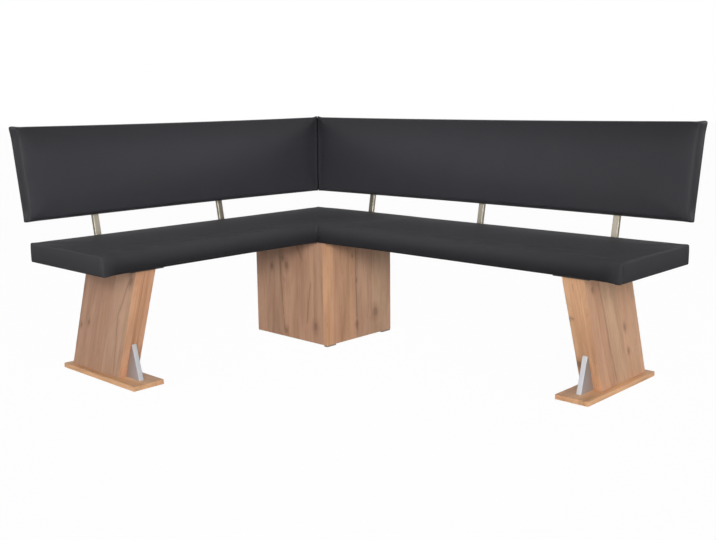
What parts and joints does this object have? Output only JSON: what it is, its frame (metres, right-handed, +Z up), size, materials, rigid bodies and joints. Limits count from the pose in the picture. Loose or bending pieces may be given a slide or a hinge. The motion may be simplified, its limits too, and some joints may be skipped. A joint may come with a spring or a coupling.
{
  "type": "corner bench",
  "caption": "Upholstered L-shaped dining corner bench: padded seats and leaning padded backs on tube supports, slanted wooden legs with gussets and a wooden corner box.",
  "frame": {"origin": "centre of the overall footprint, on the floor", "axes": "+X along the long wing towards its free end, -Y along the short wing towards its free end, +Z up"},
  "size_m": [1.9278, 1.5728, 0.9012],
  "materials": {
    "leather": "matte anthracite faux leather with a fine grain",
    "oak": "satin wild oak surface with planks, knots and cracks",
    "core_board": "raw particle board",
    "solid_softwood": "planed softwood",
    "black_steel": "black powder coated sheet",
    "support_steel": "satin brushed stainless tube",
    "bracket_steel": "zinc plated sheet",
    "gusset_aluminium": "satin anodised",
    "screws": "zinc plated",
    "glide": "dark brown"
  },
  "bodies": {
    "root": {"back_corner_brackets": "bracket_steel", "base_plate_screws": "screws", "batten_screws": "screws", "box_battens": "solid_softwood", "box_cleats": "solid_softwood", "box_front_panel": "oak", "box_glides": "glide", "box_left_panel": "oak", "box_rear_panel": "oak", "box_right_panel": "oak", "corner_bracket_screws": "screws", "gusset_screws": "screws", "leg_top_screws": "screws", "long_back_board": "core_board", "long_back_cushion": "leather", "long_back_rails": "solid_softwood", "long_back_rear_panel": "leather", "long_back_support_1": "support_steel", "long_back_support_2": "support_steel", "long_back_support_3": "support_steel", "long_base_glides": "glide", "long_base_plate": "oak", "long_leg_bottom_block": "solid_softwood", "long_leg_front_strip": "oak", "long_leg_gusset": "gusset_aluminium", "long_leg_inner_side": "oak", "long_leg_outer_side": "oak", "long_leg_rear_strip": "oak", "long_leg_top_block": "solid_softwood", "long_mounting_plate": "black_steel", "long_seat_board": "core_board", "long_seat_cushion": "leather", "mounting_plate_screws": "screws", "short_back_board": "core_board", "short_back_cushion": "leather", "short_back_rails": "solid_softwood", "short_back_rear_panel": "leather", "short_back_support_1": "support_steel", "short_back_support_2": "support_steel", "short_base_glides": "glide", "short_base_plate": "oak", "short_leg_bottom_block": "solid_softwood", "short_leg_front_strip": "oak", "short_leg_gusset": "gusset_aluminium", "short_leg_inner_side": "oak", "short_leg_outer_side": "oak", "short_leg_rear_strip": "oak", "short_leg_top_block": "solid_softwood", "short_mounting_plate": "black_steel", "short_seat_board": "core_board", "short_seat_cushion": "leather", "support_back_screws": "screws", "support_foot_screws": "screws"}
  },
  "joints": []
}
